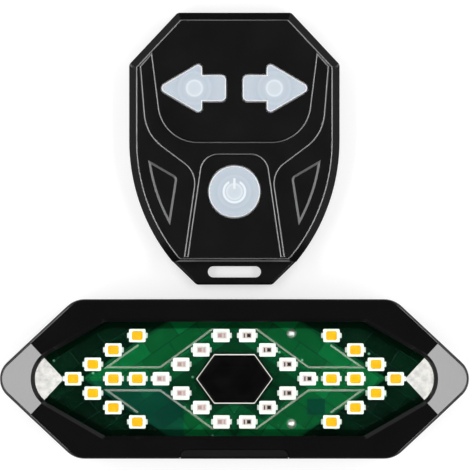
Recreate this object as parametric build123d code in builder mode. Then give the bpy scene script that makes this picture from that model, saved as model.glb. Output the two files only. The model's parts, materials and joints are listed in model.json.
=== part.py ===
from build123d import *
from math import asin, cos, degrees, radians, sin, tan
import os

os.makedirs("parts", exist_ok=True)

# A bicycle tail lamp with turn signals and its wireless remote, lying on their backs side by side.
# The fronts face +Z and X runs along the lamp. The origin is on the table, under the middle of the
# pair. Lengths are millimetres, angles degrees.

# Clearances shared by both units
flat_gap = 0.1
running_gap = 0.05
seat_gap = 0.02
least_radius = 0.3
overrun = 2.0

# Lamp outline
lamp_length = 100.0
lamp_height = 34.0
lamp_edge_angle = 43.0
lamp_tip_radius = 4.8
lamp_corner_radius = 5.5
lamp_depth = 24.0
lamp_face_edge = 0.6

# Lens window in the bezel
window_tip_margin = 7.4
window_side_margin = 4.85
window_edge_angle = 30.0
window_tip_radius = 6.0
window_corner_radius = 1.0
window_bevel = 0.8

# Sloping facets at the lamp's two tips
facet_length = 13.7
facet_slope = 12.0
facet_wall = 0.8

# Bezel and rear housing shells
bezel_wall = 1.4
bezel_roof = 2.0
back_share = 1 / 3
back_draft = 1.2
housing_floor = 1.8
tongue_thickness = 1.3
tongue_height = 1.2
gasket_inset = 0.4
housing_gasket_width = 0.8
housing_gasket_depth = 0.5

# Housing screws, which join the two shells from behind
screw_tip_margin = 18.5
screw_side_margin = 3.8
screw_radius = 0.95
screw_head_radius = 1.7
screw_head_height = 1.2
screw_head_sink = 1.4
screw_length = 9.0
screw_slot_width = 0.5
screw_slot_depth = 0.5
screw_hole_radius = 1.15
boss_radius = 2.2
boss_tube_radius = 2.5

# Post cradle on the lamp's back
post_radius = 13.6
saddle_wall = 1.4
pad_thickness = 1.6
pad_length = 24.0
pad_lift = 0.2
cradle_width = 35.0
cradle_edge = 1.5
ear_neck_length = 2.2
ear_neck_width = 5.0
ear_head_length = 2.2
ear_head_width = 9.0
ear_height = 3.2
ear_lift = 1.2
ear_edge = 0.5

# Lens
lens_gap = 0.1
lens_recess = 0.8
lens_thickness = 1.8
lens_flange_height = 1.0
lens_flange_width = 1.2
lens_skirt_thickness = 1.4
lens_skirt_height = 1.6
lens_gasket_height = 0.4
lens_rib_width = 0.45
lens_rib_depth = 0.35
diamond_top_x = 4.5
diamond_side_x = 15.8
arrow_line_y = 2.45
arrow_barb_root_x = 27.2
arrow_barb_end_x = 20.5
arrow_barb_end_y = 7.2

# Main board
board_margin = 0.7
board_thickness = 1.2
board_post_x = 26.5
board_post_y = 9.0
board_post_radius = 1.5

# LED packages and their places on the board
led_length = 3.5
led_width = 2.8
led_height = 1.7
led_edge_radius = 0.25
led_window_length = 2.35
led_window_width = 1.95
led_window_radius = 0.45
led_window_depth = 0.4
led_tab_length = 0.45
led_tab_width = 1.1
led_tab_height = 0.35
led_diagonal_count = 4
led_row_share = 0.2527
red_first_share = 0.0646
red_column_share = 0.1009
amber_column_shares = [0.486, 0.606, 0.709, 0.8075]

# Solder joints of the battery leads
solder_x = 12.2
solder_side_margin = 2.5
solder_radius = 1.05
solder_height = 0.8

# Power button and the switch under it
button_length = 15.5
button_height = 9.9
button_edge_angle = 54.0
button_corner_radius = 0.3
button_gap = 0.12
button_rise = 0.3
button_wall = 1.0
button_roof = 1.3
button_flange_width = 0.5
button_flange_height = 0.5
button_travel = 0.5
button_dish_inset = 1.95
button_dish_depth = 0.25
button_edge = 0.3
switch_size = 6.0
switch_height = 1.9
switch_plunger_radius = 1.6
switch_bore_depth = 1.3

# Battery with its pad and leads
battery_length = 33.0
battery_width = 20.0
battery_clearance = 0.5
battery_x = -7.0
battery_edge_share = 2 / 9
battery_pad_thickness = 0.5
lead_radius = 0.5
lead_spread = 4.0
lead_run = 7.0
lead_bend_share = 0.38

# USB socket, its port and the rubber flap over it
usb_width = 7.5
usb_length = 5.6
usb_height = 2.5
usb_wall = 0.3
usb_corner_radius = 0.5
usb_tongue_width = 4.6
usb_tongue_height = 0.6
usb_tongue_length = 4.2
usb_back_wall = 0.6
port_width = 8.6
port_height = 2.9
flap_width = 23.0
flap_thickness = 1.9
flap_gap = 0.1
flap_below_port = 2.25
flap_corner_radius = 1.4
flap_plug_width = 6.6
flap_plug_height = 1.7
flap_plug_length = 0.9
flap_wall = 1.2
flap_block_width = 26.0
flap_block_lip = 0.4

# Parts on the underside of the lamp's board
chip_height = 1.1
chip_edge = 0.2
control_chip_size = 6.0
control_chip_share = 0.47
radio_chip_size = 4.0
radio_chip_share = 0.75
charge_chip_length = 4.9
charge_chip_width = 3.9
charge_chip_share = -0.68
inductor_size = 4.0
inductor_height = 2.4
inductor_share = -0.83

# Remote outline
remote_length = 58.5
remote_width = 45.2
remote_top_width = 24.4
remote_shoulder_drop = 11.1
remote_straight_length = 16.4
remote_side_radius = 41.0
remote_corner_radius = 1.0
remote_foot_width = 16.3
lug_length = 5.0
lug_foot_radius = 1.2
lug_lift = 0.8
lug_thickness = 3.6
lug_edge = 0.5
lug_slot_length = 11.45
lug_slot_width = 2.4
lug_slot_margin = 1.6
unit_gap = 2.9

# Remote shells
remote_face_height = 11.4
remote_roof = 1.6
remote_parting_height = 5.5
remote_floor = 1.6
remote_wall = 1.4
remote_tongue_thickness = 1.2
remote_tongue_height = 1.0
remote_bevel_width = 1.6
remote_bevel_depth = 1.3
remote_foot_bevel_width = 0.5
remote_back_edge = 0.8
remote_face_edge = 0.4
relief_rise = 0.55
relief_edge = 0.5
leaf_side_angle = 58.0
leaf_depth = 0.3

# Relief lines on the remote's face, as shares of its half width and half length
rib_side_shares = [(0.907, 0.608), (0.854, 0.099), (0.375, -0.178), (0.491, -0.804)]
rib_side_radius_shares = [0, 0.44, 0.22, 0]
rib_top_share = (0.775, 0.721)
panel_corner_share = (0.668, 0.058)
panel_radius_share = 0.36
tomb_corner_share = (0.288, -0.051)
tomb_foot_share = (0.429, -0.804)
tomb_radius_share = 0.155
leaf_top_share = (0.819, -0.082)
leaf_side_share = (0.765, -0.28)
leaf_foot_share = (0.611, -0.56)
leaf_inner_share = (0.54, -0.208)
leaf_corner_radius_share = 0.05

# Keys of the remote
key_rise = 1.2
key_gap = 0.25
key_edge = 0.35
key_flange_width = 0.8
key_flange_height = 0.6
key_travel = 0.35
arrow_key_y = 13.0
arrow_head_back_x = 6.9
arrow_head_length = 9.74
arrow_head_height = 11.4
arrow_shaft_length = 5.13
arrow_shaft_height = 5.65
arrow_tip_radius = 1.0
arrow_head_radius = 0.85
arrow_tail_radius = 1.1
arrow_switch_x = 8.57
power_key_y = -9.2
power_key_diameter = 11.1
power_mark_radius = 2.55
power_mark_width = 0.5
power_mark_rise = 0.12
power_mark_gap_width = 2.2
power_mark_bar_length = 2.3
power_mark_bar_foot = 0.6
key_mat_thickness = 0.5
key_mat_gap = 0.4

# Remote board and its parts
remote_board_height = 6.0
remote_board_thickness = 1.0
remote_board_gap = 0.2
key_switch_size = 4.5
key_switch_height = 1.2
key_plunger_radius = 1.0
key_bore_depth = 0.9
encoder_length = 6.0
encoder_width = 4.0
encoder_height = 1.0
encoder_y = 2.5
crystal_length = 4.5
crystal_width = 1.8
crystal_height = 1.2
crystal_x = 10.5

# Remote screws
remote_screw_x = 14.5
remote_screw_top_y = 20.5
remote_screw_foot_x = 10.5
remote_screw_foot_y = -19.0
remote_screw_length = 6.0

# Coin cell, its contacts and the twist cap under it
cell_radius = 10.0
cell_thickness = 3.2
cell_y = 4.0
cell_gap = 0.35
cell_edge = 0.3
cap_margin = 1.25
cap_gap = 0.1
cap_thickness = 1.55
cap_recess = 0.25
cap_tab_reach = 1.0
cap_tab_height = 0.85
cap_tab_width = 6.0
cap_tab_play = 0.5
cap_tab_count = 3
cap_turn = 50.0
cap_slot_length = 12.0
cap_slot_width = 1.8
cap_slot_depth = 0.8
cap_edge = 0.3
seal_thickness = 0.45
seal_margin = 0.6
well_wall = 1.4
contact_thickness = 0.2
contact_width = 3.0
contact_foot = 2.0
contact_slope_run = 3.0
side_contact_height = 2.6
side_contact_foot = 2.5

# Where the two units lie
pair_length = lamp_height + unit_gap + remote_length
lamp_y = (lamp_height - pair_length) / 2
remote_y = (pair_length - remote_length) / 2

# The window, the facets and the screws keep their margins from the lamp's outline
window_length = lamp_length - window_tip_margin * 2
window_height = lamp_height - window_side_margin * 2
facet_start = lamp_length / 2 - facet_length
screw_x = lamp_length / 2 - screw_tip_margin
screw_y = lamp_height / 2 - screw_side_margin
led_row_pitch = led_row_share * window_height / 2
solder_y = window_height / 2 - solder_side_margin

# Heights in the lamp, counted down from its face to the back
lens_top = lamp_depth - lens_recess
lens_underside = lens_top - lens_thickness
roof_underside = lamp_depth - bezel_roof
flange_top = roof_underside - lens_gasket_height
flange_underside = flange_top - lens_flange_height
board_top = flange_underside - lens_skirt_height
board_underside = board_top - board_thickness
usb_middle = board_underside - usb_height / 2
flap_floor_height = usb_middle - flap_below_port
flap_block_floor = flap_floor_height - flap_block_lip
parting_height = flap_block_floor - tongue_height - flat_gap * 2
back_height = lamp_depth * back_share
floor_top = back_height + housing_floor
post_sink = post_radius + pad_thickness + saddle_wall - floor_top
head_seat = back_height + screw_head_sink
tongue_outer = bezel_wall + flat_gap
tongue_inner = tongue_outer + tongue_thickness
flap_seat = lamp_height / 2 - flap_thickness
flap_block_face = flap_seat - flap_wall
led_top = board_top + led_height
button_top = lens_top + button_rise
button_foot = lens_underside - flat_gap - button_flange_height
switch_top = board_top + switch_height
battery_foot = floor_top + battery_pad_thickness
battery_thickness = board_underside - usb_height - battery_clearance - battery_foot
battery_edge = battery_thickness * battery_edge_share
lead_height = battery_foot + battery_thickness / 2
lead_bend_radius = (board_underside - lead_height) * lead_bend_share

# Heights and radii in the remote
remote_roof_underside = remote_face_height - remote_roof
remote_tongue_outer = remote_wall + flat_gap
remote_tongue_inner = remote_tongue_outer + remote_tongue_thickness
remote_board_top = remote_board_height + remote_board_thickness
key_flange_top = remote_roof_underside - flat_gap
key_flange_foot = key_flange_top - key_flange_height
key_top = remote_face_height + key_rise
key_switch_top = remote_board_top + key_switch_height
cap_radius = cell_radius + cap_margin
cap_tab_radius = cap_radius + cap_tab_reach
seal_inner_radius = cell_radius + seal_margin
cap_top = cap_recess + cap_thickness
cell_foot = cap_top + running_gap
seal_top = cell_foot + seal_thickness
cell_top = cell_foot + cell_thickness

screw_places = [(x, y) for x in (-screw_x, screw_x) for y in (-screw_y, screw_y)]
remote_screw_places = [
    (-remote_screw_x, remote_screw_top_y),
    (remote_screw_x, remote_screw_top_y),
    (-remote_screw_foot_x, remote_screw_foot_y),
    (remote_screw_foot_x, remote_screw_foot_y),
]


def lamp_level(height):
    """A level plane at this height, centred on the lamp."""
    return Plane(origin=(0, lamp_y, height))


def remote_level(height):
    """A level plane at this height, centred on the remote."""
    return Plane(origin=(0, remote_y, height))


def upright(y):
    """An upright plane across the pair, with X to the right and Z up, that faces the lamp's edge."""
    return Plane(origin=(0, y, 0), x_dir=(1, 0, 0), z_dir=(0, -1, 0))


def save(piece, name):
    """Names a finished piece and writes it."""
    piece.part.label = name
    export_step(piece.part, f"parts/{name}.step")


# Outlines of the lamp
def long_hexagon(length, height, edge_angle, tip_radius, corner_radius, inset=0):
    """A hexagon with two level edges and two rounded tips, drawn inset from its edge."""
    slope = radians(edge_angle)
    apex = length / 2 + tip_radius * (1 / sin(slope) - 1) - inset / sin(slope)
    top = height / 2 - inset
    corner = apex - top / tan(slope)
    tip = max(tip_radius - inset, least_radius)
    side = max(corner_radius - inset, least_radius)
    with BuildSketch() as hexagon:
        with BuildLine():
            FilletPolyline(
                (apex, 0), (corner, top), (-corner, top),
                (-apex, 0), (-corner, -top), (corner, -top),
                radius=[tip, side, side, tip, side, side], close=True,
            )
        make_face()
    return hexagon.sketch


def lamp_outline(inset=0):
    """The lamp seen from the front."""
    return long_hexagon(
        lamp_length, lamp_height, lamp_edge_angle, lamp_tip_radius, lamp_corner_radius, inset
    )


def window_outline(inset=0):
    """The window in the bezel. A negative inset lies outside it."""
    return long_hexagon(
        window_length, window_height, window_edge_angle,
        window_tip_radius, window_corner_radius, inset,
    )


def button_outline(inset=0):
    """The lamp's power button seen from the front."""
    return long_hexagon(
        button_length, button_height, button_edge_angle,
        button_corner_radius, button_corner_radius, inset,
    )


def tip_relief(face_height):
    """What lies above the two facets of each tip, where the flat face is at this height.

    Each facet falls along its own slanted edge, so the two meet in a shallow valley."""
    slope = radians(lamp_edge_angle)
    reach = lamp_length / 2
    facet = Plane(
        origin=(facet_start, lamp_y, face_height),
        x_dir=(cos(slope), -sin(slope), 0),
        z_dir=(-sin(slope), -cos(slope), 0),
    )
    with BuildPart() as relief:
        with BuildSketch(facet):
            with BuildLine():
                Polyline(
                    (0, 0), (reach, -reach * tan(radians(facet_slope))),
                    (reach, overrun), (0, overrun), close=True,
                )
            make_face()
        extrude(amount=reach, both=True)
        mirror(about=Plane(origin=(0, lamp_y, 0), z_dir=(0, 1, 0)), mode=Mode.INTERSECT)
        mirror(about=Plane.YZ)
    return relief.part


def is_wall(face):
    """True for a face that stands upright."""
    return abs(face.normal_at(face.center()).Z) < seat_gap


def near_face(edge):
    """True for an edge near the lamp's front face."""
    return edge.center().Z > roof_underside - bezel_roof


def flap_plan(gap):
    """The flap seen from the front: a bar with two rounded inner corners."""
    with BuildSketch() as plan:
        with Locations((0, -(flap_seat - gap + lamp_height / 2) / 2)):
            Rectangle(flap_width + gap + gap, flap_thickness + gap)
        fillet(plan.vertices().group_by(Axis.Y)[-1], radius=flap_corner_radius)
    return plan.sketch


# Front bezel: glossy black ABS, with a bevelled window and sloping tips
with BuildPart() as bezel_inside:
    with BuildSketch(lamp_level(parting_height)):
        add(lamp_outline(bezel_wall))
    extrude(amount=roof_underside - parting_height)
    add(tip_relief(lamp_depth - facet_wall), mode=Mode.SUBTRACT)

with BuildPart() as front_bezel:
    with BuildSketch(lamp_level(parting_height)):
        add(lamp_outline())
    extrude(amount=lamp_depth - parting_height)
    add(tip_relief(lamp_depth), mode=Mode.SUBTRACT)
    fillet(
        front_bezel.faces().filter_by(is_wall).edges().filter_by(near_face),
        radius=lamp_face_edge,
    )
    with BuildSketch(lamp_level(parting_height)):
        add(window_outline())
    extrude(amount=lamp_depth, mode=Mode.SUBTRACT)
    window_walls = front_bezel.faces().filter_by(is_wall).filter_by(
        lambda f: abs(f.center().Y - lamp_y) < window_height / 2 + seat_gap
        and abs(f.center().X) < window_length / 2 + seat_gap
    )
    chamfer(window_walls.edges().filter_by(near_face), length=window_bevel)
    add(bezel_inside.part, mode=Mode.SUBTRACT)
    # Screw bosses, and the block around the USB port
    with BuildSketch(lamp_level(parting_height)):
        with Locations(*screw_places):
            Circle(boss_radius)
    extrude(amount=roof_underside - parting_height)
    with BuildSketch(lamp_level(flap_block_floor)):
        with Locations((0, -(lamp_height / 2 - bezel_wall + flap_block_face) / 2)):
            Rectangle(flap_block_width, lamp_height / 2 - bezel_wall - flap_block_face)
    extrude(amount=roof_underside - flap_block_floor)
    with BuildSketch(lamp_level(parting_height)):
        with Locations(*screw_places):
            Circle(screw_radius + seat_gap)
    extrude(amount=screw_length, mode=Mode.SUBTRACT)
    # Pocket for the rubber flap, and the port behind it
    with BuildSketch(lamp_level(flap_floor_height - flap_gap)):
        add(flap_plan(flap_gap))
    extrude(amount=lamp_depth, mode=Mode.SUBTRACT)
    with BuildSketch(upright(lamp_y)):
        with Locations((0, usb_middle)):
            RectangleRounded(port_width, port_height, usb_corner_radius)
    extrude(amount=lamp_height / 2, mode=Mode.SUBTRACT)
save(front_bezel, "front_bezel")

# Rear housing: matt black shell with the post cradle and the two strap ears
with BuildPart() as rear_housing:
    with BuildSketch(lamp_level(back_height)):
        add(lamp_outline(back_draft))
    with BuildSketch(lamp_level(parting_height)):
        add(lamp_outline())
    loft(ruled=True)
    with BuildSketch(lamp_level(0)):
        Rectangle(cradle_width, pad_length)
    extrude(amount=floor_top)
    fillet(
        rear_housing.edges().filter_by(Axis.Z).filter_by(
            lambda e: e.center().Z < back_height and abs(e.center().X) > cradle_width / 2 - seat_gap
        ),
        radius=cradle_edge,
    )
    with BuildSketch(lamp_level(floor_top)):
        add(lamp_outline(tongue_inner))
    extrude(amount=parting_height, mode=Mode.SUBTRACT)
    with BuildSketch(lamp_level(parting_height)):
        add(lamp_outline(tongue_outer))
        add(lamp_outline(tongue_inner), mode=Mode.SUBTRACT)
        with Locations(*screw_places):
            Circle(boss_radius + flat_gap * 2, mode=Mode.SUBTRACT)
    extrude(amount=tongue_height)
    with BuildSketch(lamp_level(back_height)):
        with Locations(*screw_places):
            Circle(boss_tube_radius)
    extrude(amount=parting_height - back_height)
    with BuildSketch(lamp_level(floor_top)):
        with GridLocations(board_post_x + board_post_x, board_post_y + board_post_y, 2, 2):
            Circle(board_post_radius)
    extrude(amount=board_underside - floor_top)
    # Strap ears: a neck with a wider head on each side of the cradle
    with BuildSketch(lamp_level(ear_lift)):
        with Locations((cradle_width / 2 + ear_neck_length / 2, 0)):
            Rectangle(ear_neck_length + overrun, ear_neck_width)
        with Locations((cradle_width / 2 + ear_neck_length + ear_head_length / 2, 0)):
            RectangleRounded(ear_head_length, ear_head_width, ear_edge)
        mirror(about=Plane.YZ)
    extrude(amount=ear_height)
    # Cuts: post saddle, gasket groove, screw holes
    with BuildSketch(upright(lamp_y)):
        with Locations((0, -post_sink)):
            Circle(post_radius + pad_thickness)
    extrude(amount=pad_length / 2 + overrun, both=True, mode=Mode.SUBTRACT)
    with BuildSketch(lamp_level(parting_height)):
        add(lamp_outline(gasket_inset))
        add(lamp_outline(gasket_inset + housing_gasket_width), mode=Mode.SUBTRACT)
    extrude(amount=-housing_gasket_depth, mode=Mode.SUBTRACT)
    with BuildSketch(lamp_level(back_height)):
        with Locations(*screw_places):
            Circle(screw_head_radius + flat_gap)
    extrude(amount=screw_head_sink, mode=Mode.SUBTRACT)
    with BuildSketch(lamp_level(back_height)):
        with Locations(*screw_places):
            Circle(screw_hole_radius)
    extrude(amount=parting_height, mode=Mode.SUBTRACT)
save(rear_housing, "rear_housing")

# Rubber pad that lines the cradle
with BuildPart() as post_pad:
    with BuildSketch(upright(lamp_y)):
        with Locations((0, -post_sink)):
            Circle(post_radius + pad_thickness)
            Circle(post_radius, mode=Mode.SUBTRACT)
        with Locations((0, pad_lift - post_radius - pad_thickness)):
            Rectangle(
                post_radius * 4, (post_radius + pad_thickness) * 2, mode=Mode.SUBTRACT
            )
    extrude(amount=pad_length / 2, both=True)
save(post_pad, "post_pad")

# Silicone ring in the rear housing's groove
with BuildPart() as housing_gasket:
    with BuildSketch(lamp_level(parting_height)):
        add(lamp_outline(gasket_inset + seat_gap))
        add(lamp_outline(gasket_inset + housing_gasket_width - seat_gap), mode=Mode.SUBTRACT)
    extrude(amount=-housing_gasket_depth)
save(housing_gasket, "housing_gasket")

# Housing screws with slotted pan heads
with BuildPart() as housing_screws:
    with BuildSketch(lamp_level(head_seat)):
        with Locations(*screw_places):
            Circle(screw_head_radius)
    extrude(amount=-screw_head_height)
    with BuildSketch(lamp_level(head_seat)):
        with Locations(*screw_places):
            Circle(screw_radius)
    extrude(amount=screw_length)
    with BuildSketch(lamp_level(head_seat - screw_head_height)):
        with Locations(*screw_places):
            Rectangle(screw_head_radius * 2, screw_slot_width)
    extrude(amount=screw_slot_depth, mode=Mode.SUBTRACT)
save(housing_screws, "housing_screws")

# Lens: clear cover with a skirt down to the board, a flange under the bezel and a hole for the button
with BuildPart() as lens:
    with BuildSketch(lamp_level(board_top)):
        add(window_outline(lens_gap))
    extrude(amount=lens_top - board_top)
    add(tip_relief(lens_top), mode=Mode.SUBTRACT)
    with BuildSketch(lamp_level(flange_underside)):
        add(window_outline(-lens_flange_width))
        with Locations(*screw_places):
            Circle(boss_radius + flat_gap * 2, mode=Mode.SUBTRACT)
    extrude(amount=lens_flange_height)
    with BuildSketch(lamp_level(board_top)):
        add(window_outline(lens_skirt_thickness))
    extrude(amount=lens_underside - board_top, mode=Mode.SUBTRACT)
    # Moulded ribs on the underside draw the diamond and the two arrows
    with BuildSketch(lamp_level(lens_underside)):
        with BuildLine() as rib_line:
            Polyline(
                (diamond_top_x, window_height / 2 - lens_skirt_thickness),
                (diamond_side_x, arrow_line_y),
                (arrow_barb_root_x, arrow_line_y),
                (arrow_barb_end_x, arrow_barb_end_y),
            )
        trace(line_width=lens_rib_width)
        mirror(about=Plane.YZ)
        mirror(about=Plane.XZ)
    extrude(amount=-lens_rib_depth)
    with BuildSketch(lamp_level(board_top)):
        add(button_outline(-button_gap))
    extrude(amount=lamp_depth, mode=Mode.SUBTRACT)
save(lens, "lens")

# Flat ring between the lens flange and the bezel
with BuildPart() as lens_gasket:
    with BuildSketch(lamp_level(flange_top)):
        add(window_outline(-lens_flange_width))
        add(window_outline(-(lens_flange_width / 4)), mode=Mode.SUBTRACT)
        with Locations(*screw_places):
            Circle(boss_radius + flat_gap * 2, mode=Mode.SUBTRACT)
    extrude(amount=lens_gasket_height)
save(lens_gasket, "lens_gasket")

# Main board, clamped between the lens skirt and the housing's posts
with BuildPart() as main_board:
    with BuildSketch(lamp_level(board_underside)):
        add(window_outline(-board_margin))
        with Locations(*screw_places):
            Circle(boss_radius + flat_gap * 2, mode=Mode.SUBTRACT)
    extrude(amount=board_thickness)
save(main_board, "main_board")

# Places of the LED packages: a diamond of red ones, an arrow of amber ones on each side
led_rows = [led_row_pitch * (led_diagonal_count - 1 - n) for n in range(led_diagonal_count)]
red_shares = [red_first_share + red_column_share * n for n in range(led_diagonal_count)]
red_columns = [share * window_length / 2 for share in red_shares]
amber_columns = [share * window_length / 2 for share in amber_column_shares]
red_places = sorted(
    {(sx * x, sy * y) for x, y in zip(red_columns, led_rows) for sx in (1, -1) for sy in (1, -1)}
)


def arrow_places(side):
    """Places of one arrow's packages, on the lamp's right (1) or left (-1)."""
    head = {(side * x, sy * y) for x, y in zip(amber_columns, led_rows) for sy in (1, -1)}
    shaft = {(side * x, 0) for x in amber_columns[:2]}
    return sorted(head | shaft)


def led_packages(places, name):
    """White packages, each with a shallow pocket in its face."""
    with BuildPart() as packages:
        with BuildSketch(lamp_level(board_top)):
            with Locations(*places):
                RectangleRounded(led_length, led_width, led_edge_radius)
        extrude(amount=led_height)
        with BuildSketch(lamp_level(led_top)):
            with Locations(*places):
                RectangleRounded(led_window_length, led_window_width, led_window_radius)
        extrude(amount=-led_window_depth, mode=Mode.SUBTRACT)
    save(packages, name)


def led_windows(places, name):
    """The phosphor or clear resin that fills the pockets."""
    with BuildPart() as windows:
        with BuildSketch(lamp_level(led_top - led_window_depth)):
            with Locations(*places):
                RectangleRounded(
                    led_window_length - seat_gap * 2,
                    led_window_width - seat_gap * 2,
                    led_window_radius - seat_gap,
                )
        extrude(amount=led_window_depth)
    save(windows, name)


for place_list, colour in (
    (arrow_places(-1), "left_amber"), (arrow_places(1), "right_amber"), (red_places, "red")
):
    led_packages(place_list, f"{colour}_led_packages")
    led_windows(place_list, f"{colour}_led_windows")

# Solder tabs at both ends of every package
with BuildPart() as led_tabs:
    with BuildSketch(lamp_level(board_top)):
        tab_reach = (led_length + led_tab_length) / 2
        with Locations(*[
            (x + end * tab_reach, y)
            for x, y in arrow_places(-1) + arrow_places(1) + red_places for end in (-1, 1)
        ]):
            Rectangle(led_tab_length, led_tab_width)
    extrude(amount=led_tab_height)
save(led_tabs, "led_solder_tabs")

# Domed solder joints where the battery leads come through the board
with BuildPart() as solder_joints:
    dome_radius = (solder_radius**2 + solder_height**2) / (2 * solder_height)
    with Locations(*[
        (solder_x, lamp_y + sy * solder_y, board_top + solder_height - dome_radius)
        for sy in (1, -1)
    ]):
        Sphere(dome_radius)
    split(bisect_by=lamp_level(board_top), keep=Keep.TOP)
save(solder_joints, "solder_joints")

# Power button: a hollow hexagonal cap with a flange that the lens holds down
with BuildPart() as power_button:
    with BuildSketch(lamp_level(button_foot)):
        add(button_outline())
    extrude(amount=button_top - button_foot)
    chamfer(power_button.faces().sort_by(Axis.Z)[-1].edges(), length=button_edge)
    with BuildSketch(lamp_level(button_foot)):
        add(button_outline(-button_flange_width))
    extrude(amount=button_flange_height)
    with BuildSketch(lamp_level(button_foot)):
        add(button_outline(button_wall))
    extrude(amount=button_top - button_roof - button_foot, mode=Mode.SUBTRACT)
    with BuildSketch(lamp_level(button_top)):
        add(button_outline(button_dish_inset))
    extrude(amount=-button_dish_depth, mode=Mode.SUBTRACT)
save(power_button, "power_button")

with BuildPart() as power_switch:
    with BuildSketch(lamp_level(board_top)):
        Rectangle(switch_size, switch_size)
    extrude(amount=switch_height)
    with BuildSketch(lamp_level(switch_top)):
        Circle(switch_plunger_radius + running_gap)
    extrude(amount=-switch_bore_depth, mode=Mode.SUBTRACT)
save(power_switch, "power_switch")

with BuildPart() as power_plunger:
    with BuildSketch(lamp_level(switch_top - switch_bore_depth + button_travel + flat_gap)):
        Circle(switch_plunger_radius)
    extrude(
        amount=button_top - button_roof - switch_top + switch_bore_depth - button_travel - flat_gap
    )
save(power_plunger, "power_switch_plunger")

# Battery on its foam pad
with BuildPart() as battery_pad:
    with BuildSketch(lamp_level(floor_top)):
        with Locations((battery_x, 0)):
            Rectangle(battery_length, battery_width)
    extrude(amount=battery_pad_thickness)
save(battery_pad, "battery_pad")

with BuildPart() as battery_cell:
    with BuildSketch(lamp_level(battery_foot)):
        with Locations((battery_x, 0)):
            Rectangle(battery_length, battery_width)
    extrude(amount=battery_thickness)
    fillet(battery_cell.edges().filter_by(Axis.Y), radius=battery_edge)
save(battery_cell, "battery_cell")

# Two leads from the battery's end up to the solder joints
with BuildPart() as battery_leads:
    for sy in (1, -1):
        start = (battery_x + battery_length / 2, lamp_y + sy * lead_spread, lead_height)
        turn_x = start[0] + lead_run
        with BuildLine() as lead_path:
            FilletPolyline(
                start,
                (turn_x, start[1], lead_height),
                (turn_x, lamp_y + sy * solder_y, lead_height),
                (solder_x, lamp_y + sy * solder_y, lead_height),
                (solder_x, lamp_y + sy * solder_y, board_underside),
                radius=lead_bend_radius,
            )
        with BuildSketch(Plane(origin=start, z_dir=(1, 0, 0))):
            Circle(lead_radius)
        sweep(path=lead_path.line)
save(battery_leads, "battery_leads")

# USB socket under the board: steel shell and the tongue inside
usb_y = lamp_y - flap_block_face + flat_gap
with BuildPart() as usb_shell:
    with BuildSketch(upright(usb_y)):
        with Locations((0, usb_middle)):
            RectangleRounded(usb_width, usb_height, usb_corner_radius)
    extrude(amount=-usb_length)
    with BuildSketch(upright(usb_y)):
        with Locations((0, usb_middle)):
            Rectangle(usb_width - usb_wall * 2, usb_height - usb_wall * 2)
    extrude(amount=usb_back_wall - usb_length, mode=Mode.SUBTRACT)
save(usb_shell, "usb_shell")

with BuildPart() as usb_tongue:
    with BuildSketch(upright(usb_y + usb_length - usb_back_wall)):
        with Locations((0, usb_middle)):
            Rectangle(usb_tongue_width, usb_tongue_height)
    extrude(amount=usb_tongue_length)
save(usb_tongue, "usb_tongue")

# Rubber flap over the port, flush with the bezel, with a plug on its inner side
with BuildPart() as usb_flap:
    with BuildSketch(lamp_level(flap_floor_height)):
        add(flap_plan(0))
    extrude(amount=lamp_depth - flap_floor_height)
    fillet(
        usb_flap.edges().filter_by(Axis.X).sort_by(Axis.Y).group_by(Axis.Y)[0].sort_by(Axis.Z)[-1],
        radius=lamp_face_edge,
    )
    with BuildSketch(upright(lamp_y - flap_seat)):
        with Locations((0, usb_middle)):
            Rectangle(flap_plug_width, flap_plug_height)
    extrude(amount=-flap_plug_length)
save(usb_flap, "usb_flap")


def board_chip(length, width, height, share, name):
    """A package under the lamp's board, at this share of the way to the window's tip."""
    with BuildPart() as chip:
        with BuildSketch(lamp_level(board_underside)):
            with Locations((share * window_length / 2, 0)):
                Rectangle(length, width)
        extrude(amount=-height)
        chamfer(chip.faces().sort_by(Axis.Z)[0].edges(), length=chip_edge)
    save(chip, name)


board_chip(control_chip_size, control_chip_size, chip_height, control_chip_share, "control_chip")
board_chip(radio_chip_size, radio_chip_size, chip_height, radio_chip_share, "radio_chip")
board_chip(charge_chip_length, charge_chip_width, chip_height, charge_chip_share, "charge_chip")
board_chip(inductor_size, inductor_size, inductor_height, inductor_share, "power_inductor")


# Outlines of the remote
def share_point(share):
    """A place on the remote's face from its shares of the half width and half length."""
    return (share[0] * remote_width / 2, share[1] * remote_length / 2)


def mirrored(point):
    """The same place on the other side of the remote."""
    return (-point[0], point[1])


def remote_outline(inset=0):
    """The whole remote from the front, drawn inset from its edge."""
    top = remote_length / 2
    side = remote_width / 2
    shoulder = top - remote_shoulder_drop
    waist = shoulder - remote_straight_length
    turn = degrees(asin((waist - lug_length + top) / remote_side_radius))
    with BuildSketch() as outline:
        with BuildLine():
            edge = Polyline((remote_top_width / 2, top), (side, shoulder), (side, waist))
            curve = JernArc(
                start=edge @ 1, tangent=(0, -1), radius=remote_side_radius, arc_size=-turn
            )
            Line(curve @ 1, (remote_foot_width / 2, -top))
            mirror(about=Plane.YZ)
            Line((remote_top_width / 2, top), (-remote_top_width / 2, top))
            Line((remote_foot_width / 2, -top), (-remote_foot_width / 2, -top))
        make_face()
        if inset:
            offset(amount=-inset, kind=Kind.INTERSECTION)
        rows = outline.vertices().group_by(Axis.Y)
        fillet(rows[-1] + rows[-2], radius=max(remote_corner_radius - inset, least_radius))
        fillet(
            outline.vertices().group_by(Axis.Y)[0],
            radius=max(lug_foot_radius - inset, least_radius),
        )
    return outline.sketch


def cover_outline(inset=0, foot_inset=None):
    """The remote above its lug, drawn inset from its edge. The foot's inset may differ."""
    if foot_inset is None:
        foot_inset = inset
    with BuildSketch() as outline:
        add(remote_outline(inset))
        with Locations((0, -remote_length / 2)):
            Rectangle(remote_width, 2 * (lug_length + foot_inset), mode=Mode.SUBTRACT)
    return outline.sketch


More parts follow.
